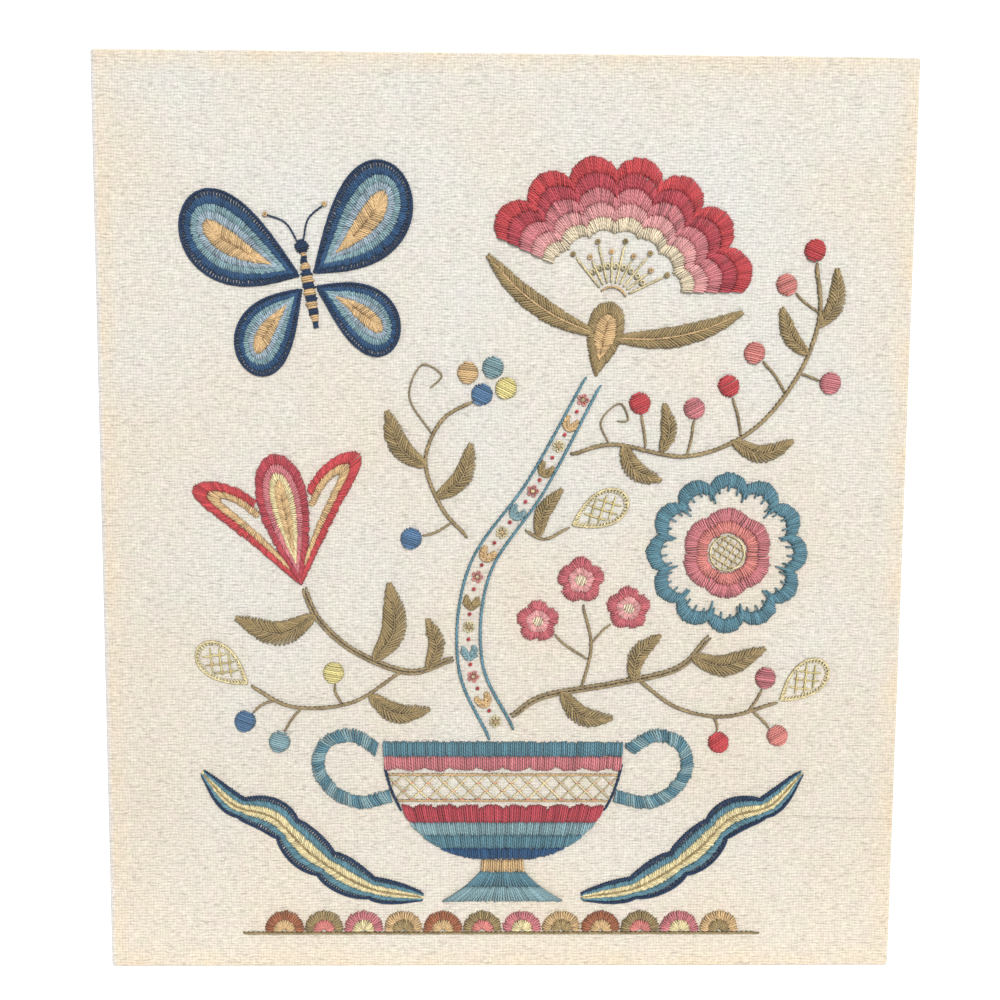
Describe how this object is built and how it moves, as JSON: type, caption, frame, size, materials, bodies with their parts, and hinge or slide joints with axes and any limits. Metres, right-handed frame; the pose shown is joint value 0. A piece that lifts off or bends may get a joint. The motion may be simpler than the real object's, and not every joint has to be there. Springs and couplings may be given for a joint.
{
  "type": "crewel embroidery panel on stretcher frame",
  "caption": "Flat rectangular linen panel worked in crewel wool with a bowl of flowers and a butterfly, stretched over a mitred wooden stretcher frame.",
  "frame": {"origin": "middle of the back, on the plane that the panel rests on", "axes": "+Z out of the embroidered face, +Y to the top of the design, +X to its right"},
  "size_m": [0.3556, 0.4064, 0.0223],
  "materials": {
    "linen": "plain weave, slubbed, matt",
    "pine": "planed, unfinished",
    "red_wool": "satin stitch, soft sheen",
    "pink_wool": "satin stitch, soft sheen",
    "blue_wool": "satin stitch, soft sheen",
    "teal_wool": "satin and stem stitch, soft sheen",
    "navy_wool": "buttonhole and stem stitch, matt",
    "olive_wool": "chain, stem and fishbone stitch, matt",
    "yellow_wool": "satin stitch and lattice, soft sheen"
  },
  "bodies": {
    "root": {"aster_edge": "teal_wool", "aster_heart": "yellow_wool", "aster_ring": "pink_wool", "berry_drop_1": "red_wool", "berry_drop_2": "pink_wool", "berry_drop_3": "pink_wool", "berry_left_1": "blue_wool", "berry_left_2": "yellow_wool", "berry_left_3": "teal_wool", "berry_left_4": "yellow_wool", "berry_left_5": "blue_wool", "berry_low_1": "yellow_wool", "berry_low_2": "teal_wool", "berry_low_3": "blue_wool", "berry_right_1": "red_wool", "berry_right_2": "pink_wool", "berry_right_3": "red_wool", "berry_right_4": "pink_wool", "berry_right_5": "pink_wool", "berry_right_6": "pink_wool", "berry_right_7": "red_wool", "bloom_bands": "red_wool", "bloom_cup": "olive_wool", "bloom_heart": "yellow_wool", "bowl_belly": "blue_wool", "bowl_foot": "teal_wool", "bowl_handle_left": "blue_wool", "bowl_handle_right": "blue_wool", "bowl_lattice": "yellow_wool", "bowl_rim": "blue_wool", "butterfly_body": "navy_wool", "curled_leaf_left": "navy_wool", "curled_leaf_right": "navy_wool", "ground_row": "olive_wool", "lattice_leaf_left": "yellow_wool", "lattice_leaf_middle": "yellow_wool", "lattice_leaf_right": "yellow_wool", "linen": "linen", "pink_left": "pink_wool", "pink_right": "pink_wool", "pink_upper": "pink_wool", "spray_aster": "olive_wool", "spray_left": "olive_wool", "spray_right": "olive_wool", "spray_tulip": "olive_wool", "stem_main": "teal_wool", "stretcher_bar_bottom": "pine", "stretcher_bar_left": "pine", "stretcher_bar_right": "pine", "stretcher_bar_top": "pine", "tulip_head": "red_wool", "twig_middle": "olive_wool", "wing_lower_left": "blue_wool", "wing_lower_right": "blue_wool", "wing_upper_left": "blue_wool", "wing_upper_right": "blue_wool"}
  },
  "joints": []
}
